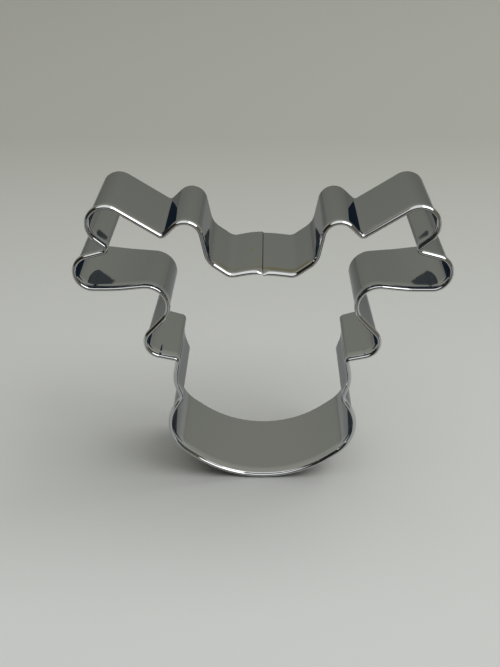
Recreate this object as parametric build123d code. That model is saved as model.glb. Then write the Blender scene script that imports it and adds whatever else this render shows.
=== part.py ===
from build123d import *
import math
import os

# Stamped and bent biscuit cutter: one stainless strip bent into an antlered deer's head.
# Millimetres. X runs across the face, Y from the rolled rim (front) to the cutting edge
# (back), Z up from the chin. The outline is symmetrical about X = 0 but for the lap.

# Strip
THICKNESS = 0.3
DEPTH = 24.0
FRONT = -DEPTH / 2
BACK = DEPTH / 2

# Safety rim: the front of the strip is curled outwards into a flattened tube
RIM_WIDTH = 1.1
RIM_DEPTH = 2.0
RIM_OUTWARD = 0.2
LIP_GAP = 0.2
RIM_BACK = FRONT + RIM_DEPTH
REACH = RIM_OUTWARD + RIM_WIDTH / 2

# Lap on the crown: the left end lies over a tail of the right end and is spot-welded to it.
# The crown rises to the seam from its two corners, a little steeper on the outer layer.
CROWN_RISE = 0.7
CROWN_SLOPE_RIGHT = 7.0
CROWN_SLOPE_LEFT = 12.0
TAIL_ANGLE = CROWN_SLOPE_LEFT - 0.5
NOTCH_HALF_WIDTH = 0.75
NOTCH_DEPTH = 3.0
WELD_RADIUS = 0.8
WELD_DIMPLE = 0.06
WELDS = {"spot_weld_front": (3.1, -4.6), "spot_weld_back": (5.8, 1.2)}

# Chin, the lowest bend; its rim touches the table at Z = 0. The side of the muzzle runs
# into it, and up to the pinch above, each time with a short straight between the bends.
CHIN_RADIUS = 26.6
CHIN_HEIGHT = CHIN_RADIUS + REACH
MUZZLE_RADIUS = 10.1
CHIN_STRAIGHT = 2.8
PINCH_STRAIGHT = 2.0

# The strip's bends down the right-hand side, each held as the pin it is bent round:
# name, pin centre X and Z, mid-line radius, side (+1 pin inside the outline, -1 outside),
# and how far the bend has sprung sideways in X and Z at the cutting edge.
BENDS = [
    ("crown_corner", 6.6, 59.5, 2.8, -1, 0.0, 0.0),
    ("antler_root", 8.0, 63.0, 4.8, -1, 0.0, 0.0),
    ("small_tine", 17.1, 66.0, 3.5, 1, 0.0, 0.0),
    ("tine_valley", 22.3, 67.4, 1.1, -1, 0.0, 0.0),
    ("upper_tine", 34.4, 69.0, 4.1, 1, 0.0, 0.0),
    ("tine_pinch", 35.8, 63.4, 1.1, -1, 0.0, 0.0),
    ("lower_tine", 38.4, 57.5, 3.9, 1, 0.0, 0.0),
    ("tine_belly", 35.7, 96.1, 42.5, 1, -7.0, -0.9),
    ("antler_stem", 26.8, 49.0, 5.3, -1, 0.3, -1.9),
    ("ear", 23.7, 39.4, 3.5, 1, -0.4, -0.7),
    ("ear_root", 21.0, 34.1, 1.1, -1, 0.2, -0.8),
    ("face", 11.5, 29.5, 9.1, 1, 0.0, 0.0),
    ("muzzle_pinch", 22.0, 24.3, 2.5, -1, 0.0, 0.0),
]


def crown_arc(left):
    """Mid-line top and radius of one half's crown arc, from its slope down to the corner."""
    _, corner_x, corner_z, corner_radius, _, _, _ = BENDS[0]
    slope = math.radians(CROWN_SLOPE_LEFT if left else CROWN_SLOPE_RIGHT)
    layer = THICKNESS / 2 if left else -THICKNESS / 2
    top = corner_z - corner_radius + CROWN_RISE + layer
    touch_x = corner_x - corner_radius * math.sin(slope)
    touch_z = corner_z - corner_radius * math.cos(slope)
    ridge = touch_z + touch_x * math.tan(slope)
    return top, (ridge - top) / (1 / math.cos(slope) - 1)


CROWN_TOP_LEFT, CROWN_RADIUS_LEFT = crown_arc(True)
CROWN_TOP_RIGHT, CROWN_RADIUS_RIGHT = crown_arc(False)


def muzzle_side_pin():
    """Centre of the muzzle's side, an arm's length from both the chin and the pinch."""
    _, pinch_x, pinch_z, pinch_radius, _, _, _ = BENDS[-1]
    chin_arm = math.hypot(CHIN_RADIUS - MUZZLE_RADIUS, CHIN_STRAIGHT)
    pinch_arm = math.hypot(MUZZLE_RADIUS + pinch_radius, PINCH_STRAIGHT)
    span = math.hypot(pinch_x, pinch_z - CHIN_HEIGHT)
    across = pinch_x / span
    up = (pinch_z - CHIN_HEIGHT) / span
    along = (chin_arm**2 - pinch_arm**2 + span**2) / (2 * span)
    below = math.sqrt(chin_arm**2 - along**2)
    return along * across + below * up, CHIN_HEIGHT + along * up - below * across


def pins(left, at_edge):
    """All the pins of one half from crown to chin, as (name, x, z, radius, side)."""
    top = CROWN_TOP_LEFT if left else CROWN_TOP_RIGHT
    radius = CROWN_RADIUS_LEFT if left else CROWN_RADIUS_RIGHT
    rows = [("crown", 0.0, top - radius, radius, 1)]
    for name, x, z, radius, side, spring_x, spring_z in BENDS:
        rows.append((name, x + at_edge * spring_x, z + at_edge * spring_z, radius, side))
    muzzle_x, muzzle_z = muzzle_side_pin()
    rows.append(("muzzle_side", muzzle_x, muzzle_z, MUZZLE_RADIUS, 1))
    rows.append(("chin", 0.0, CHIN_HEIGHT, CHIN_RADIUS, 1))
    return rows


def half_outline(offset=0.0, left=False, at_edge=0.0):
    """The outline of one half, `offset` outside the strip's mid-line, as a belt round the pins.

    Returns a dictionary from each bend's name to its arc, and from "after_NAME" to the
    straight that follows it; an arc is three points and a straight two, each an (x, z) pair.
    """
    rows = pins(left, at_edge)
    mirror = -1 if left else 1
    signed = [side * radius + offset for _, _, _, radius, side in rows]
    normals = [math.pi / 2]
    for (_, xa, za, _, _), (_, xb, zb, _, _), ra, rb in zip(rows, rows[1:], signed, signed[1:]):
        reach = math.hypot(xb - xa, zb - za)
        heading = math.atan2(zb - za, xb - xa) - math.asin((ra - rb) / reach)
        normals.append(heading + math.pi / 2)
    normals.append(-math.pi / 2)

    def point(x, z, radius, angle):
        return (mirror * (x + radius * math.cos(angle)), z + radius * math.sin(angle))

    outline = {}
    for index, (name, x, z, _, _) in enumerate(rows):
        start = normals[index]
        turn = (normals[index + 1] - start + math.pi) % (2 * math.pi) - math.pi
        outline[name] = [point(x, z, signed[index], start + turn * share) for share in (0, 0.5, 1)]
    names = [row[0] for row in rows]
    for name, following in zip(names, names[1:]):
        outline["after_" + name] = [outline[name][-1], outline[following][0]]
    return outline


def midway(straight):
    (xa, za), (xb, zb) = straight
    return ((xa + xb) / 2, (za + zb) / 2)


def run(first, last, offset=0.0, left=False, at_edge=0.0):
    """The stretch of strip from bend `first` to bend `last`, cut midway along the straights."""
    outline = half_outline(offset, left, at_edge)
    names = [row[0] for row in pins(left, at_edge)]
    start, end = names.index(first), names.index(last)
    spans = []
    if start > 0:
        lead = outline["after_" + names[start - 1]]
        spans.append([midway(lead), lead[1]])
    for index in range(start, end + 1):
        spans.append(outline[names[index]])
        if index < end:
            spans.append(outline["after_" + names[index]])
    if end < len(names) - 1:
        trail = outline["after_" + names[end]]
        spans.append([trail[0], midway(trail)])
    return spans


def backwards(spans):
    return [span[::-1] for span in spans[::-1]]


def muzzle_run(offset=0.0, at_edge=0.0):
    """Right cheek, round the chin, to the left cheek."""
    right = run("muzzle_pinch", "chin", offset, False, at_edge)
    left = run("muzzle_pinch", "chin", offset, True, at_edge)
    return right + backwards(left)


def edges(spans, y):
    """The spans as edges at depth y."""
    made = []
    for span in spans:
        points = [Vector(x, y, z) for x, z in span]
        if len(points) == 3:
            made.append(Edge.make_three_point_arc(*points))
        else:
            made.append(Edge.make_line(*points))
    return made


def strip_section(spans_at, y, at_edge):
    """The strip's closed outline at depth y; spans_at(offset, at_edge) gives its two faces."""
    outside = spans_at(THICKNESS / 2, at_edge)
    inside = spans_at(-THICKNESS / 2, at_edge)
    end_cap = [outside[-1][-1], inside[-1][-1]]
    start_cap = [inside[0][0], outside[0][0]]
    return Wire(edges(outside + [end_cap] + backwards(inside) + [start_cap], y))


def wall(spans_at, sprung=False, front=RIM_BACK):
    """A stretch of the strip from behind the rim to the cutting edge."""
    near = strip_section(spans_at, front, 0.0)
    if sprung:
        far = strip_section(spans_at, BACK, 1.0)
        return Solid.make_loft([near, far], ruled=True)
    return Solid.extrude(Face(near), Vector(0, BACK - front, 0))


def curl_section():
    """The rim's cross-section: X outwards from the strip's mid-line, Y forwards."""
    root_depth = RIM_WIDTH / 2
    root_centre = -(RIM_DEPTH - root_depth / 2)
    tube = SlotOverall(RIM_DEPTH, RIM_WIDTH, rotation=90)
    hollow = SlotOverall(RIM_DEPTH - 2 * THICKNESS, RIM_WIDTH - 2 * THICKNESS, rotation=90)
    root = Pos(0, root_centre) * Rectangle(THICKNESS, root_depth)
    lip_gap = Pos((THICKNESS + LIP_GAP) / 2, root_centre) * Rectangle(LIP_GAP, root_depth)
    return Pos(RIM_OUTWARD, -RIM_DEPTH / 2) * (tube - hollow) + root - lip_gap


def rim(clockwise_spans):
    """The curled safety rim along a stretch, swept round the front of the strip's mid-line."""
    path = Wire(edges(clockwise_spans, FRONT))
    forward = path % 0
    start = Plane(origin=path @ 0, x_dir=forward.cross(Vector(0, 1, 0)), z_dir=forward)
    return sweep(start * curl_section(), path).solid()


def seam_notch():
    """The V left between the obliquely cut ends of the rim."""
    corners = [
        (-NOTCH_HALF_WIDTH, FRONT),
        (NOTCH_HALF_WIDTH, FRONT),
        (0, FRONT + NOTCH_DEPTH),
    ]
    bottom = CROWN_TOP_RIGHT - 2 * RIM_WIDTH
    return Pos(0, 0, bottom) * extrude(make_face(Polyline(*corners, close=True)), 4 * RIM_WIDTH)


def lap_pose(angle, radius, y):
    """A place on the left half's crown arc, `angle` degrees left of the seam, facing out."""
    turned = math.radians(angle)
    outward = Vector(-math.sin(turned), 0, math.cos(turned))
    centre = Vector(0, y, CROWN_TOP_LEFT - CROWN_RADIUS_LEFT)
    return Plane(origin=centre + outward * radius, z_dir=outward)


def lap_tail():
    """The end of the right half that runs on under the left, cut short of the rim."""
    def spans_at(offset, at_edge):
        radius = CROWN_RADIUS_LEFT - THICKNESS + offset
        stations = (TAIL_ANGLE, TAIL_ANGLE / 2, 0)
        arc = [lap_pose(angle, radius, 0).origin for angle in stations]
        return [[(point.X, point.Z) for point in arc]]

    return wall(spans_at, front=FRONT + NOTCH_DEPTH)


def weld(angle, y, dimple):
    """A spot weld through both layers of the lap, its faces `dimple` below theirs."""
    height = 2 * THICKNESS - 2 * dimple
    base = lap_pose(angle, CROWN_RADIUS_LEFT - 1.5 * THICKNESS + dimple, y)
    return Solid.make_cylinder(WELD_RADIUS, height, base)


def crown_walls():
    """The two halves of the crown, notched at the seam and pierced for the spot welds."""
    left = wall(lambda offset, at_edge: run("crown", "crown", offset, True, at_edge))
    right = wall(lambda offset, at_edge: run("crown", "crown", offset, False, at_edge))
    right = right.fuse(lap_tail())
    tools = [seam_notch()] + [weld(angle, y, -THICKNESS) for angle, y in WELDS.values()]
    for tool in tools:
        left = left - tool
        right = right - tool
    return left, right


def antler_wall(left):
    return wall(
        lambda offset, at_edge: run("crown_corner", "antler_stem", offset, left, at_edge), sprung=True
    )


def cheek_wall(left):
    return wall(lambda offset, at_edge: run("ear", "face", offset, left, at_edge), sprung=True)


def rim_along(first, last, left):
    spans = run(first, last, left=left)
    return rim(backwards(spans) if left else spans)


crown_wall_left, crown_wall_right = crown_walls()
parts = {
    "crown_wall_left": crown_wall_left,
    "crown_wall_right": crown_wall_right,
    "antler_wall_left": antler_wall(True),
    "antler_wall_right": antler_wall(False),
    "cheek_wall_left": cheek_wall(True),
    "cheek_wall_right": cheek_wall(False),
    "muzzle_wall": wall(muzzle_run),
    "crown_rim_left": rim_along("crown", "crown", True) - seam_notch(),
    "crown_rim_right": rim_along("crown", "crown", False) - seam_notch(),
    "antler_rim_left": rim_along("crown_corner", "antler_stem", True),
    "antler_rim_right": rim_along("crown_corner", "antler_stem", False),
    "cheek_rim_left": rim_along("ear", "face", True),
    "cheek_rim_right": rim_along("ear", "face", False),
    "muzzle_rim": rim(muzzle_run()),
}
for weld_name, (angle, y) in WELDS.items():
    parts[weld_name] = weld(angle, y, WELD_DIMPLE)

os.makedirs("parts", exist_ok=True)
for node, shape in parts.items():
    export_step(shape, f"parts/{node}.step")
    box = shape.bounding_box()
    print(node, "valid", shape.is_valid, "solids", len(shape.solids()), "mm3", round(shape.volume, 2),
          "x", round(box.min.X, 2), round(box.max.X, 2), "z", round(box.min.Z, 2), round(box.max.Z, 2))
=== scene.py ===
# %% [markdown]
# # A bent-strip cookie cutter
# The real cutter is one ribbon of thin stainless steel. A former bends it on edge into the
# outline of an antlered deer's head. Its front edge is curled into a safe, rounded rim, its
# back edge stays a plain cutting edge, and its two ends are lapped on the crown and
# spot-welded. The scene makes it the same way: one section swept along one bent path.

# %% Load the measured model
import math
import bmesh
import bpy
from mathutils import Matrix, Vector


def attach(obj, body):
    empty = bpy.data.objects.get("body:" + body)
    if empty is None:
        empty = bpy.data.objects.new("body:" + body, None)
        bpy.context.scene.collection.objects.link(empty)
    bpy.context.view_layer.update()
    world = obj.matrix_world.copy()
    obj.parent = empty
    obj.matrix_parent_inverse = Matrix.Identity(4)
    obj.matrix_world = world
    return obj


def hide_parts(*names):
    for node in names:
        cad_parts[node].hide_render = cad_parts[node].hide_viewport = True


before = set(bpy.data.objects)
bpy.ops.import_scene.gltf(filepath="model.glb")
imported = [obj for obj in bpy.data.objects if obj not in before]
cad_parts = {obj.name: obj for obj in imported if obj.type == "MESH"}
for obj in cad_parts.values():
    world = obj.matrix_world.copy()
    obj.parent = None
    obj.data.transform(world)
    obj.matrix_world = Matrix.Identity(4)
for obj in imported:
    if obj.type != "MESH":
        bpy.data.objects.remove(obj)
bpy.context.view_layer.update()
MM = 0.001
print("nodes:", sorted(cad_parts))

# %% [markdown]
# ## Sizes of the strip and its curled rim
# The depth runs along Y, from the rim at the front to the cutting edge at the back. The
# sheet is only 0.3 mm thick, so almost everything the eye sees is either a mirror-like wall
# or the bright line of the curl.

# %% Strip and rim sizes, in millimetres
THICKNESS = 0.3
DEPTH = 24.0
FRONT = -DEPTH / 2
BACK = DEPTH / 2
RIM_WIDTH = 1.1
RIM_DEPTH = 2.0
RIM_OUTWARD = 0.2
print("strip mm:", DEPTH, "deep,", THICKNESS, "thick; rim:", RIM_WIDTH, "by", RIM_DEPTH)

# %% [markdown]
# ## The bend table
# A bending former is a plate with pins, and the strip is pulled round them like a belt
# round pulleys. The outline is therefore written as pins: a centre, a radius, and the side
# of the strip that the pin is on. The straights between bends come from the geometry, as
# the common tangents of two circles. The last two numbers say how far a bend lies to one
# side at the cutting edge, read from the picture's back edge and taken to be spring in the
# strip where no stiff rim holds it. The table repeats the measured model's outline.

# %% Pins of the right-hand half
BENDS = [
    ("crown_corner", 6.6, 59.5, 2.8, -1, 0.0, 0.0),
    ("antler_root", 8.0, 63.0, 4.8, -1, 0.0, 0.0),
    ("small_tine", 17.1, 66.0, 3.5, 1, 0.0, 0.0),
    ("tine_valley", 22.3, 67.4, 1.1, -1, 0.0, 0.0),
    ("upper_tine", 34.4, 69.0, 4.1, 1, 0.0, 0.0),
    ("tine_pinch", 35.8, 63.4, 1.1, -1, 0.0, 0.0),
    ("lower_tine", 38.4, 57.5, 3.9, 1, 0.0, 0.0),
    ("tine_belly", 35.7, 96.1, 42.5, 1, -7.0, -0.9),
    ("antler_stem", 26.8, 49.0, 5.3, -1, 0.3, -1.9),
    ("ear", 23.7, 39.4, 3.5, 1, -0.4, -0.7),
    ("ear_root", 21.0, 34.1, 1.1, -1, 0.2, -0.8),
    ("face", 11.5, 29.5, 9.1, 1, 0.0, 0.0),
    ("muzzle_pinch", 22.0, 24.3, 2.5, -1, 0.0, 0.0),
    ("muzzle_side", 12.3, 16.0, 10.1, 1, 0.0, 0.0),
    ("chin", 0.0, 27.35, 26.6, 1, 0.0, 0.0),
]
CROWN = {"right": (57.25, 32.0), "left": (57.55, 22.0)}
print("bends in one half:", len(BENDS) + 1)

# %% [markdown]
# ## From pins to a path
# A tangent line that passes from one pin to the next makes a known angle with the line
# between their centres. Working with signed radii, plus for a pin inside the outline and
# minus for one outside, covers every case with one formula. Each arc gets a point every few
# degrees. The count comes from the front outline, so the same point on the back outline is
# its partner, and the difference of the two is the spring of the strip at that place.

# %% Walk round the pins
ARC_STEP = math.radians(4)


def pins(side, at_edge):
    top, radius = CROWN[side]
    rows = [(0.0, top - radius, radius)]
    for _, x, z, radius, hand, spring_x, spring_z in BENDS:
        rows.append((x + at_edge * spring_x, z + at_edge * spring_z, hand * radius))
    return rows


def leaving_angles(rows):
    """The direction of the outward normal where the strip enters and leaves each pin."""
    angles = [math.pi / 2]
    for (xa, za, ra), (xb, zb, rb) in zip(rows, rows[1:]):
        span = math.hypot(xb - xa, zb - za)
        heading = math.atan2(zb - za, xb - xa) - math.asin((ra - rb) / span)
        angles.append(heading + math.pi / 2)
    return angles + [-math.pi / 2]


def turn_between(start, end):
    return (end - start + math.pi) % (2 * math.pi) - math.pi


def half_path(side, at_edge):
    """Points from the crown's seam to the chin; the left half is the mirror of the right."""
    mirror = -1 if side == "left" else 1
    front_angles = leaving_angles(pins(side, 0.0))
    rows = pins(side, at_edge)
    angles = leaving_angles(rows)
    points = []
    for index, (x, z, radius) in enumerate(rows):
        front_turn = turn_between(front_angles[index], front_angles[index + 1])
        steps = max(3, math.ceil(abs(front_turn) / ARC_STEP))
        turn = turn_between(angles[index], angles[index + 1])
        arc = []
        for step in range(steps + 1):
            angle = angles[index] + turn * step / steps
            arc.append((mirror * (x + radius * math.cos(angle)), z + radius * math.sin(angle)))
        if points:
            points += straight(points[-1], arc[0])
        points += arc
    return points


def straight(start, end):
    """Inner points of a straight, close to its ends so that the flat shades as a flat."""
    shares = (0.06, 0.35, 0.65, 0.94)
    return [tuple(a + (b - a) * share for a, b in zip(start, end)) for share in shares]


def whole_path(at_edge):
    """Clockwise from the seam: down the right side, round the chin, up the left side."""
    right = half_path("right", at_edge)
    left = half_path("left", at_edge)
    return right + left[::-1][1:]


front_path = whole_path(0.0)
back_path = whole_path(1.0)
path_length = sum(math.dist(a, b) for a, b in zip(front_path, front_path[1:]))
print("path points:", len(front_path), "strip length mm:", round(path_length))

# %% [markdown]
# ## The section that is swept
# A section drawn across the strip shows one unbroken sheet: the wall comes forward, leans
# in a little, then curls outwards round an oval tube and stops short of itself. The
# section is a closed loop round that sheet. It is drawn with X pointing into the outline,
# because a swept section lies to the right of its path, and with Y along the depth.

# %% Draw the sheet's section
ROWS = 10
EDGE_BEVEL = 0.04
TAIL_FRONT = FRONT + 3.0
CURL_MIDDLE = FRONT + RIM_DEPTH / 2
LEAN_START = CURL_MIDDLE + 1.55
LIP_ANGLE = 60


def curl(shrink, start, end, steps):
    """Points of the oval tube, which can be shrunk by the sheet's thickness."""
    made = []
    for step in range(steps + 1):
        angle = math.radians(start + (end - start) * step / steps)
        across = RIM_OUTWARD + (RIM_WIDTH / 2 - shrink) * math.cos(angle)
        made.append((across, CURL_MIDDLE + (RIM_DEPTH / 2 - shrink) * math.sin(angle)))
    return made


def lean(face_offset, tube_offset, steps=6):
    """The gentle S between the wall and the curl, from the wall's end to the tube's."""
    made = []
    for step in range(1, steps):
        share = step / steps
        blend = (1 - math.cos(math.pi * share)) / 2
        across = face_offset + (tube_offset - face_offset) * blend
        made.append((across, LEAN_START + (CURL_MIDDLE - LEAN_START) * share))
    return made


def wall_face(offset):
    """One face of the flat wall, from just inside the cutting edge to where the lean starts."""
    length = BACK - EDGE_BEVEL - LEAN_START
    return [(offset, BACK - EDGE_BEVEL - length * row / ROWS) for row in range(ROWS + 1)]


def strip_section():
    half = THICKNESS / 2
    loop = [(-half + EDGE_BEVEL, BACK)] + wall_face(-half)
    loop += lean(-half, RIM_OUTWARD - RIM_WIDTH / 2)
    loop += curl(0.0, 180, 360 + LIP_ANGLE, 30)
    loop += curl(THICKNESS, 360 + LIP_ANGLE, 180, 16)
    loop += lean(half, RIM_OUTWARD - RIM_WIDTH / 2 + THICKNESS)[::-1]
    loop += wall_face(half)[::-1] + [(half - EDGE_BEVEL, BACK)]
    return [(-across, along) for across, along in loop]


def tail_section():
    half = THICKNESS / 2
    return [(half, BACK), (half, TAIL_FRONT), (-half, TAIL_FRONT), (-half, BACK)]


print("points round the section:", len(strip_section()))

# %% [markdown]
# ## Sweeping with Geometry Nodes
# Both the path and the section go in as plain chains of edges. The tree turns them into
# curves, sweeps one along the other, moves each point by its share of the stored spring,
# which is nothing at the rim and all of it at the cutting edge, and stands the result up.
# The path is drawn lying in the ground plane, because a curve whose normals are set to
# Z Up keeps an even twist there, however it turns. The tree ends in Realize Instances and
# Set Material, so that a plain mesh can be read back from it.

# %% A small helper that adds a node
def add(tree, kind, inputs=(), **settings):
    """Adds a node, sets its options, and fills its inputs with values or links."""
    node = tree.nodes.new(kind)
    for name, value in settings.items():
        setattr(node, name, value)
    for key, value in dict(inputs).items():
        if isinstance(value, bpy.types.NodeSocket):
            tree.links.new(value, node.inputs[key])
        else:
            node.inputs[key].default_value = value
    return node


# %% Chains of edges for path and section
def chain(name, points, closed=False, spring=None):
    mesh = bpy.data.meshes.new(name)
    count = len(points)
    edges = [(i, i + 1) for i in range(count - 1)]
    if closed:
        edges.append((count - 1, 0))
    mesh.from_pydata([(x * MM, y * MM, 0.0) for x, y in points], edges, [])
    if spring:
        stored = mesh.attributes.new("spring", "FLOAT_VECTOR", "POINT")
        for item, (dx, dy) in zip(stored.data, spring):
            item.vector = (dx * MM, dy * MM, 0.0)
    made = bpy.data.objects.new(name, mesh)
    bpy.context.collection.objects.link(made)
    return made


# %% The tree that bends and stands up a strip
def strip_tree():
    tree = bpy.data.node_groups.new("bend_strip", "GeometryNodeTree")
    face = tree.interface
    face.new_socket("Path", in_out="INPUT", socket_type="NodeSocketGeometry")
    face.new_socket("Section", in_out="INPUT", socket_type="NodeSocketObject")
    face.new_socket("Rim back", in_out="INPUT", socket_type="NodeSocketFloat")
    face.new_socket("Cutting edge", in_out="INPUT", socket_type="NodeSocketFloat")
    face.new_socket("Steel", in_out="INPUT", socket_type="NodeSocketMaterial")
    face.new_socket("Strip", in_out="OUTPUT", socket_type="NodeSocketGeometry")
    given = add(tree, "NodeGroupInput")
    path = add(tree, "GeometryNodeMeshToCurve", {"Mesh": given.outputs["Path"]})
    level = add(tree, "GeometryNodeSetCurveNormal", {"Curve": path.outputs[0]}, mode="Z_UP")
    drawn = add(tree, "GeometryNodeObjectInfo", {"Object": given.outputs["Section"]})
    section = add(tree, "GeometryNodeMeshToCurve", {"Mesh": drawn.outputs["Geometry"]})
    swept = add(tree, "GeometryNodeCurveToMesh", {
        "Curve": level.outputs[0],
        "Profile Curve": section.outputs[0],
        "Fill Caps": True,
    })
    place = add(tree, "GeometryNodeInputPosition")
    parts = add(tree, "ShaderNodeSeparateXYZ", {0: place.outputs[0]})
    depth = add(tree, "ShaderNodeMath", {0: parts.outputs["Z"], 1: -1.0}, operation="MULTIPLY")
    share = add(tree, "ShaderNodeMapRange", {
        "Value": depth.outputs[0],
        "From Min": given.outputs["Rim back"],
        "From Max": given.outputs["Cutting edge"],
    })
    spring = add(tree, "GeometryNodeInputNamedAttribute", {"Name": "spring"},
                 data_type="FLOAT_VECTOR")
    shift = add(tree, "ShaderNodeVectorMath", {0: spring.outputs["Attribute"]}, operation="SCALE")
    tree.links.new(share.outputs["Result"], shift.inputs["Scale"])
    sprung = add(tree, "GeometryNodeSetPosition", {
        "Geometry": swept.outputs[0],
        "Offset": shift.outputs[0],
    })
    upright = add(tree, "GeometryNodeTransform", {
        "Geometry": sprung.outputs[0],
        "Rotation": (math.pi / 2, 0.0, 0.0),
    })
    whole = add(tree, "GeometryNodeRealizeInstances", {"Geometry": upright.outputs[0]})
    painted = add(tree, "GeometryNodeSetMaterial", {
        "Geometry": whole.outputs[0],
        "Material": given.outputs["Steel"],
    })
    out = add(tree, "NodeGroupOutput")
    tree.links.new(painted.outputs[0], out.inputs[0])
    return tree


bend_strip = strip_tree()
print("nodes in the tree:", len(bend_strip.nodes))

# %% [markdown]
# ## Reading the bent strip back as a plain mesh
# The modifier is only a way of making the shape. Once it has run, its result is copied into
# an ordinary mesh at the origin, the modifier goes, and faces that meet at more than a
# small angle are marked sharp, so the sheet's edges stay crisp while bends shade smoothly.

# %% Run the tree and keep its mesh
def bent(name, path, section, steel, spring=None):
    host = chain(name, path, spring=spring)
    drawn = chain(name + "_section", section, closed=True)
    modifier = host.modifiers.new("bend", "NODES")
    modifier.node_group = bend_strip
    values = {
        "Section": drawn,
        "Rim back": (FRONT + RIM_DEPTH) * MM,
        "Cutting edge": BACK * MM,
        "Steel": steel,
    }
    for item in bend_strip.interface.items_tree:
        if item.name in values:
            modifier[item.identifier] = values[item.name]
    bpy.context.view_layer.update()
    result = host.evaluated_get(bpy.context.evaluated_depsgraph_get())
    made = bpy.data.meshes.new_from_object(result)
    host.modifiers.remove(modifier)
    host.data = made
    bpy.data.objects.remove(drawn)
    return host


def turn_faces_outward(piece):
    shape = bmesh.new()
    shape.from_mesh(piece.data)
    bmesh.ops.recalc_face_normals(shape, faces=shape.faces)
    shape.to_mesh(piece.data)
    shape.free()
    piece.data.shade_smooth()
    piece.data.set_sharp_from_angle(angle=math.radians(35))


# %% [markdown]
# ## Bright rolled stainless steel
# The strip is cold-rolled stainless with a bright finish. Its colour is a plain light grey,
# it is fully metallic, and it is smooth enough to mirror its neighbours clearly. The tones
# were picked against the picture, and no real sheet was measured. Rolling
# leaves very fine lines along the strip. Since the depth runs along Y on every bend, lines
# along the strip are simply a noise that changes fast in Y and slowly in X and Z. Curling
# the rim presses those lines flat and polishes it, so the lines fade out and the tone rises
# there. The straw-coloured smudges behind the rim near the seam are a painted reflection of the
# curl.

# %% Colours as written, and material helpers
def colour(code):
    """A hex sRGB colour as the linear values that a shader socket takes."""
    parts = [int(code[i:i + 2], 16) / 255 for i in (1, 3, 5)]
    linear = [p / 12.92 if p <= 0.04045 else ((p + 0.055) / 1.055) ** 2.4 for p in parts]
    return (*linear, 1.0)


def new_material(name):
    made = bpy.data.materials.new(name)
    made.use_nodes = True
    made.node_tree.nodes.clear()
    return made, made.node_tree


# %% Rolling lines and the painted reflection of the curl
def rolled_grain(tree, along, across, detail):
    """A noise in Object coordinates, stretched so that its lines run along the strip."""
    place = add(tree, "ShaderNodeTexCoord")
    scaled = add(tree, "ShaderNodeMapping", {
        "Vector": place.outputs["Object"],
        "Scale": (along, across, along),
    })
    return add(tree, "ShaderNodeTexNoise", {
        "Vector": scaled.outputs[0],
        "Scale": 1.0,
        "Detail": detail,
        "Roughness": 0.55,
    })


def inside_band(tree, value, middle, half_width, blur):
    """One inside a band of a coordinate and nothing outside it, in millimetres."""
    offset = add(tree, "ShaderNodeMath", {0: value, 1: middle * MM}, operation="SUBTRACT")
    distance = add(tree, "ShaderNodeMath", {0: offset.outputs[0]}, operation="ABSOLUTE")
    fade = add(tree, "ShaderNodeMapRange", {
        "Value": distance.outputs[0],
        "From Min": (half_width + blur) * MM,
        "From Max": (half_width - blur) * MM,
    }, interpolation_type="SMOOTHSTEP")
    return fade.outputs["Result"]


def painted_curl_reflection(tree, place, cloud):
    """Painted reflection of the curl: straw-coloured smudges in the crease behind the rim, either
    side of the seam.
    """
    share = add(tree, "ShaderNodeMapRange", {
        "Value": cloud.outputs["Fac"],
        "From Min": 0.3,
        "From Max": 0.65,
    }).outputs["Result"]
    for axis, band in (("X", (0.0, 11.0, 3.0)), ("Y", (-8.6, 0.7, 0.4)), ("Z", (57.0, 5.0, 1.0))):
        part = inside_band(tree, place.outputs[axis], *band)
        share = add(tree, "ShaderNodeMath", {0: share, 1: part}, operation="MULTIPLY").outputs[0]
    return share


# %% The bright steel of the strip
def rolled_steel(name, code, roughness, waviness):
    """Bright cold-rolled stainless: a clear mirror, streaked finely along its length."""
    made, tree = new_material(name)
    fine = rolled_grain(tree, 120, 5000, 3.0)
    broad = rolled_grain(tree, 90, 160, 2.0)
    spread = add(tree, "ShaderNodeMapRange", {
        "Value": fine.outputs["Fac"],
        "From Min": 0.3,
        "From Max": 0.7,
        "To Min": roughness * 0.8,
        "To Max": roughness * 1.25,
    })
    place = add(tree, "ShaderNodeTexCoord")
    depth = add(tree, "ShaderNodeSeparateXYZ", {0: place.outputs["Object"]})
    off_rim = add(tree, "ShaderNodeMapRange", {
        "Value": depth.outputs["Y"],
        "From Min": (FRONT + RIM_DEPTH) * MM,
        "From Max": (FRONT + RIM_DEPTH + 1.5) * MM,
    })
    line_strength = add(tree, "ShaderNodeMath", {
        0: off_rim.outputs["Result"],
        1: 0.25,
    }, operation="MULTIPLY")
    lines = add(tree, "ShaderNodeBump", {
        "Strength": line_strength.outputs[0],
        "Distance": 0.0000015,
        "Height": fine.outputs["Fac"],
    })
    waves = add(tree, "ShaderNodeBump", {
        "Strength": waviness,
        "Distance": 0.0001,
        "Height": broad.outputs["Fac"],
        "Normal": lines.outputs[0],
    })
    tone = add(tree, "ShaderNodeMix", {
        0: off_rim.outputs["Result"],
        6: colour("#d3d4d5"),
        7: colour(code),
    }, data_type="RGBA")
    # Painted reflection of the curl, mixed in as straw-coloured smudges behind the rim near the
    # seam.
    tone_and_curl_reflection = add(tree, "ShaderNodeMix", {
        0: painted_curl_reflection(tree, depth, broad),
        6: tone.outputs[2],
        7: colour("#a39c78"),
    }, data_type="RGBA")
    steel = add(tree, "ShaderNodeBsdfPrincipled", {
        "Base Color": tone_and_curl_reflection.outputs[2],
        "Metallic": 1.0,
        "Roughness": spread.outputs["Result"],
        "Specular Tint": colour("#bdbec1"),
        "Normal": waves.outputs[0],
    })
    add(tree, "ShaderNodeOutputMaterial", {"Surface": steel.outputs[0]})
    return made
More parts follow.
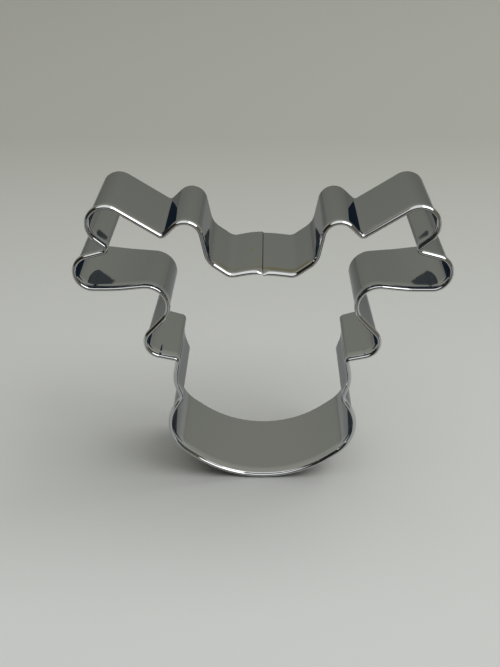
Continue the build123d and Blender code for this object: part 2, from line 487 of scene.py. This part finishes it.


# %% The torn steel of a sheared edge, darkened with painted crevice shade
def dull_edge_painted_shade(name, code):
    """A sheared edge: torn, dull steel, darkened with painted shade of the crevice beside it."""
    made, tree = new_material(name)
    torn = rolled_grain(tree, 2500, 2500, 2.0)
    relief = add(tree, "ShaderNodeBump", {
        "Strength": 0.5,
        "Distance": 0.00002,
        "Height": torn.outputs["Fac"],
    })
    edge = add(tree, "ShaderNodeBsdfPrincipled", {
        "Base Color": colour(code),
        "Metallic": 1.0,
        "Roughness": 0.5,
        "Normal": relief.outputs[0],
    })
    add(tree, "ShaderNodeOutputMaterial", {"Surface": edge.outputs[0]})
    return made


# %% Make the three steels
strip_steel = rolled_steel("bright_rolled_stainless", "#b1b2b3", 0.05, 0.1)
weld_steel = rolled_steel("heat_tinted_stainless", "#b3b1a4", 0.12, 0.1)
sheared_steel_painted_shade = dull_edge_painted_shade("sheared_edge_painted_crevice_shade", "#4a4844")
print("materials:", [m.name for m in bpy.data.materials])

# %% [markdown]
# ## The cutter's strip
# The whole cutter is one strip, so it is one mesh: wall and rim flow into each other as
# they do on the real thing. The strip starts and ends at the crown's seam.

# %% Sweep the strip round its path
SEAM_GAP = 0.01


def open_at_seam(path):
    first, last = path[0], path[-1]
    return [(SEAM_GAP, first[1])] + path[1:-1] + [(-SEAM_GAP, last[1])]


spring_back = [(b[0] - a[0], b[1] - a[1]) for a, b in zip(front_path, back_path)]
strip = bent("bent_strip", open_at_seam(front_path), strip_section(), strip_steel, spring_back)
print("strip faces:", len(strip.data.polygons))

# %% [markdown]
# ## The notch at the seam
# The curled rim is trimmed to a shallow V where the two ends meet, so that it doesn't
# bulge over the lap, and each end is pressed down a little. The V is narrower than the
# measured model's, because the picture shows it nearly shut. Moving the points near the
# seam sideways opens that V without cutting the mesh, and pulling them towards the inner
# side of the curl flattens the ends.

# %% Open the V and press the rim's ends down
NOTCH_HALF_WIDTH = 0.16
NOTCH_DEPTH = 2.6
PRESSED_LENGTH = 1.6
PRESSED_SHARE = 0.55
SPREAD_LENGTH = 3.0
CROWN_ABOVE = 50.0

moved = 0

for vertex in strip.data.vertices:
    x, y, z = (value / MM for value in vertex.co)
    if z > CROWN_ABOVE and y < FRONT + NOTCH_DEPTH:
        depth_share = 1 - (y - FRONT) / NOTCH_DEPTH
        if abs(x) < PRESSED_LENGTH:
            inner = CROWN["right" if x > 0 else "left"][0] + RIM_OUTWARD - RIM_WIDTH / 2
            nearness = (1 - abs(x) / PRESSED_LENGTH) ** 2 * min(1, 2 * depth_share)
            vertex.co.z -= (z - inner) * PRESSED_SHARE * nearness * MM
        if abs(x) < SPREAD_LENGTH:
            shift = NOTCH_HALF_WIDTH * depth_share * (1 - abs(x) / SPREAD_LENGTH)
            vertex.co.x += math.copysign(shift, x) * MM
            moved += 1
print("points moved to open the notch:", moved)

# %% [markdown]
# ## The lapped tail
# The right-hand end carries on under the left-hand one for a few millimetres. That hidden
# layer is what the spot welds hold on to. It has no curl, because the rim is trimmed off it.

# %% Bend the tail and join it to the strip
TAIL_RADIUS = 21.7
TAIL_CENTRE_Z = CROWN["right"][0] - TAIL_RADIUS
TAIL_ANGLE = 11.5
TAIL_STEPS = 12

tail_path = []
for step in range(TAIL_STEPS + 1):
    angle = math.radians(90 + TAIL_ANGLE * (1 - step / TAIL_STEPS))
    tail_path.append((TAIL_RADIUS * math.cos(angle), TAIL_CENTRE_Z + TAIL_RADIUS * math.sin(angle)))
tail = bent("lapped_tail", tail_path, tail_section(), strip_steel)
print("tail length mm:", round(TAIL_RADIUS * math.radians(TAIL_ANGLE), 1))

# %% [markdown]
# ## The sheared end
# The strip is taken to be cut with shears, so its end slopes and is torn dull. It stands a
# sheet's thickness above the layer under it. The picture shows only a thin dark line across
# the crown, and the sliver's width and tone were chosen to give that line. Its dark colour is
# torn steel plus painted shade of the crevice beside the cut.

# %% Lay the sloping cut along the seam and join the three
CUT_SLOPE = 0.2
CUT_FRONT = FRONT + 1.2
CUT_SINK = 0.01
cut_top = CROWN["left"][0] + THICKNESS / 2
cut_bottom = CROWN["right"][0] + THICKNESS / 2 - CUT_SINK
corners = [(-SEAM_GAP, cut_top), (-SEAM_GAP, cut_bottom), (CUT_SLOPE, cut_bottom)]
cut_points = [(x * MM, y * MM, z * MM) for y in (CUT_FRONT, BACK) for x, z in corners]
cut_mesh = bpy.data.meshes.new("sheared_end")
cut_mesh.from_pydata(cut_points, [], [
    (0, 1, 2), (3, 5, 4), (0, 3, 4, 1), (1, 4, 5, 2), (2, 5, 3, 0),
])
strip.data.materials.append(sheared_steel_painted_shade)

joined = bmesh.new()
joined.from_mesh(strip.data)
joined.from_mesh(tail.data)
faces_before = len(joined.faces)
joined.from_mesh(cut_mesh)
joined.faces.ensure_lookup_table()
# The cut's faces take the dull steel that carries the painted crevice shade.
for face in joined.faces[faces_before:]:
    face.material_index = 1
joined.to_mesh(strip.data)
joined.free()
bpy.data.meshes.remove(cut_mesh)
bpy.data.objects.remove(tail)
turn_faces_outward(strip)
strip_nodes = [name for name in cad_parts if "wall" in name or "rim" in name]
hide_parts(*strip_nodes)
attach(strip, "root")
print("strip stands for", len(strip_nodes), "nodes")

# %% [markdown]
# ## The spot welds
# Each weld is a small round press mark left by the electrode. It is a disc that follows the
# crown's curve: a dished middle, a low ring round it, and an edge that sinks back into the
# sheet.

# %% Press the weld marks
WELD_RADIUS = 0.8
WELDS = {"spot_weld_front": (3.1, -4.6), "spot_weld_back": (5.8, 1.2)}
CROWN_TOP, CROWN_RADIUS = CROWN["left"]
CROWN_OUTER = CROWN_RADIUS + THICKNESS / 2
CROWN_CENTRE_Z = CROWN_TOP - CROWN_RADIUS
PROFILE = [(0.0, 0.004), (0.45, 0.005), (0.7, 0.009), (0.85, 0.014), (0.95, 0.01), (1.0, -0.05)]
SPOKES = 36
WELD_SINK = -0.12


def weld_point(angle_left, along, radius, turn, rise):
    """A point of the weld, bent round the crown's arc."""
    across = radius * math.cos(turn)
    angle = math.radians(90 + angle_left) - across / CROWN_OUTER
    reach = CROWN_OUTER + rise
    return (
        reach * math.cos(angle) * MM,
        (along + radius * math.sin(turn)) * MM,
        (CROWN_CENTRE_Z + reach * math.sin(angle)) * MM,
    )


def weld(name, angle_left, along):
    points = [weld_point(angle_left, along, 0.0, 0.0, PROFILE[0][1])]
    for share, rise in PROFILE[1:]:
        for spoke in range(SPOKES):
            turn = 2 * math.pi * spoke / SPOKES
            points.append(weld_point(angle_left, along, WELD_RADIUS * share, turn, rise))
    base = len(points)
    points.append(weld_point(angle_left, along, 0.0, 0.0, WELD_SINK))
    faces = []
    for spoke in range(SPOKES):
        following = (spoke + 1) % SPOKES
        faces.append((0, 1 + spoke, 1 + following))
        for ring in range(len(PROFILE) - 2):
            inner = 1 + ring * SPOKES
            outer = inner + SPOKES
            faces.append((inner + spoke, outer + spoke, outer + following, inner + following))
        outer = 1 + (len(PROFILE) - 2) * SPOKES
        faces.append((base, outer + following, outer + spoke))
    mesh = bpy.data.meshes.new(name)
    mesh.from_pydata(points, [], faces)
    mesh.materials.append(weld_steel)
    made = bpy.data.objects.new(name, mesh)
    bpy.context.collection.objects.link(made)
    turn_faces_outward(made)
    return made


for name, (angle_left, along) in WELDS.items():
    mark = weld("pressed_" + name, angle_left, along)
    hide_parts(name)
    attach(mark, "root")
    print(mark.name, "faces:", len(mark.data.polygons))

# %% [markdown]
# ## The floor
# A plain sheet of pale grey paper, matt enough that the shadow under the chin is the only
# thing on it. Its colour holds a painted fall-off of light: it darkens towards the back. Rays
# that left the steel find a darker, warmer tone in front of the cutter. Paper doesn't do that:
# it stands in for things before the real table that the picture doesn't show.

# %% Lay the floor
floor_paper, tree = new_material("matt_studio_paper")
fibres = add(tree, "ShaderNodeTexCoord")
across_floor = add(tree, "ShaderNodeSeparateXYZ", {0: fibres.outputs["Object"]})
tooth = add(tree, "ShaderNodeTexNoise", {"Vector": fibres.outputs["Object"], "Scale": 900.0})
# Painted light fall-off: the paper's colour goes from lighter at the front to darker at the back.
painted_falloff_share = add(tree, "ShaderNodeMapRange", {
    "Value": across_floor.outputs["Y"],
    "From Min": -0.06,
    "From Max": 0.27,
})
paper_with_painted_falloff = add(tree, "ShaderNodeMix", {
    0: painted_falloff_share.outputs["Result"],
    6: colour("#d5d7d5"),
    7: colour("#adaea6"),
}, data_type="RGBA")
fibre_relief = add(tree, "ShaderNodeBump", {
    "Strength": 0.2,
    "Distance": 0.00005,
    "Height": tooth.outputs["Fac"],
})
nearer = add(tree, "ShaderNodeMapRange", {
    "Value": across_floor.outputs["Y"],
    "From Min": -0.02,
    "From Max": -0.1,
})
ray = add(tree, "ShaderNodeLightPath")
table_share = add(tree, "ShaderNodeMath", {
    0: nearer.outputs["Result"],
    1: ray.outputs["Is Glossy Ray"],
}, operation="MULTIPLY")
surface = add(tree, "ShaderNodeMix", {
    0: table_share.outputs[0],
    6: paper_with_painted_falloff.outputs[2],
    7: colour("#74716a"),
}, data_type="RGBA")
paper = add(tree, "ShaderNodeBsdfPrincipled", {
    "Base Color": surface.outputs[2],
    "Roughness": 0.9,
    "Specular IOR Level": 0.1,
    "Normal": fibre_relief.outputs[0],
})
add(tree, "ShaderNodeOutputMaterial", {"Surface": paper.outputs[0]})

bpy.ops.mesh.primitive_plane_add(size=3.0)
floor = bpy.context.object
floor.name = "floor"
floor.data.materials.append(floor_paper)
print("floor metres:", tuple(round(size, 2) for size in floor.dimensions))

# %% [markdown]
# ## The room that the steel mirrors
# Polished steel shows its surroundings, so the room matters more than the steel's own
# colour. From the picture's angle the cutter's walls mirror a pale backdrop behind it, and
# the curled rim mirrors the room in front: dark brown on the left, dark grey in the middle,
# mid grey on the right, and a white ceiling. The world is written as those five tones,
# blended by direction. Light that has met the steel twice finds one dark blue tone instead.
# That is a device and not physics, and it makes the navy slivers of the tight bends. All of
# these tones were picked for the picture's angle, so from behind the steel looks near black.
# The camera itself sees a plain pale backdrop.

# %% Paint the surroundings
world = bpy.data.worlds.new("studio")
bpy.context.scene.world = world
world.use_nodes = True
tree = world.node_tree
tree.nodes.clear()


def between(value, low, high):
    """A smooth step from 0 to 1 as the value goes from low to high."""
    step = add(tree, "ShaderNodeMapRange", {
        "Value": value,
        "From Min": low,
        "From Max": high,
    }, interpolation_type="SMOOTHSTEP")
    return step.outputs["Result"]


def blend(share, first, second):
    mixed = add(tree, "ShaderNodeMix", {0: share, 6: first, 7: second}, data_type="RGBA")
    return mixed.outputs[2]


heading = add(tree, "ShaderNodeTexCoord")
axes = add(tree, "ShaderNodeSeparateXYZ", {0: heading.outputs["Generated"]})
left_to_middle = between(axes.outputs["X"], -0.6, -0.35)
middle_to_right = between(axes.outputs["X"], 0.35, 0.6)
front_half = blend(left_to_middle, colour("#2b261a"), colour("#4d4a42"))
front_half = blend(middle_to_right, front_half, colour("#6f6a5e"))
walls = blend(between(axes.outputs["Y"], 0.5, 0.68), front_half, colour("#a3a49a"))
room = blend(between(axes.outputs["Z"], 0.7, 0.82), walls, colour("#ffffff"))
ray = add(tree, "ShaderNodeLightPath")
twice = between(ray.outputs["Glossy Depth"], 1.0, 2.0)
mirrored = blend(twice, room, colour("#455769"))
seen = blend(ray.outputs["Is Camera Ray"], mirrored, colour("#9fa09a"))
glow = add(tree, "ShaderNodeBackground", {"Color": seen, "Strength": 1.0})
add(tree, "ShaderNodeOutputWorld", {"Surface": glow.outputs[0]})
print("nodes in the world:", len(tree.nodes))

# %% [markdown]
# ## Soft studio light
# One broad soft lamp hangs overhead to the right. It brightens the white line along the
# curled rim and lays the soft shadow under and to the left of the chin.

# %% Hang the lamp
def soft_lamp(name, place, aim, size, power):
    data = bpy.data.lights.new(name, "AREA")
    data.shape = "RECTANGLE"
    data.size, data.size_y = size
    data.energy = power
    made = bpy.data.objects.new(name, data)
    made.location = place
    made.rotation_euler = (Vector(aim) - Vector(place)).to_track_quat("-Z", "Y").to_euler()
    bpy.context.collection.objects.link(made)
    return made


lamp = soft_lamp("overhead", (0.8, 0.0, 1.2), (0, 0, 0), (1.7, 1.0), 11.0)
print("lamp watts:", lamp.data.energy)

# %% [markdown]
# ## The camera
# The camera stands in front and above, looking about 29 degrees down, with the slight turn
# and tilt of a hand-held picture. The numbers come from fitting a camera to the strip's near
# and far edges in the picture. Other focal lengths fit as well or better, and 925 pixels was
# chosen. The sensor height is given with a lens length that makes 925 pixels of focal length
# in a picture 667 pixels tall.

# %% Set the camera
PITCH = 0.51194178
YAW = -0.02162137
ROLL = 0.00766724
FOCAL_PIXELS = 925
PICTURE_HEIGHT = 667
CAMERA_PLACE = (0.00122, -0.19968, 0.14772)

forward = Vector((
    math.sin(YAW) * math.cos(PITCH),
    math.cos(YAW) * math.cos(PITCH),
    -math.sin(PITCH),
))
level_right = Vector((math.cos(YAW), -math.sin(YAW), 0.0))
level_down = forward.cross(level_right)
right = math.cos(ROLL) * level_right + math.sin(ROLL) * level_down
down = math.cos(ROLL) * level_down - math.sin(ROLL) * level_right
turn = Matrix((right, -down, -forward)).transposed()

lens = bpy.data.cameras.new("photo_angle")
lens.sensor_fit = "VERTICAL"
lens.sensor_height = 36.0
lens.lens = FOCAL_PIXELS / PICTURE_HEIGHT * lens.sensor_height
camera = bpy.data.objects.new("photo_angle", lens)
camera.matrix_world = Matrix.Translation(CAMERA_PLACE) @ turn.to_4x4()
bpy.context.collection.objects.link(camera)
bpy.context.scene.camera = camera
bpy.context.scene.view_settings.view_transform = "Standard"
print("lens mm:", round(lens.lens, 1), "looking down degrees:", round(math.degrees(PITCH), 1))
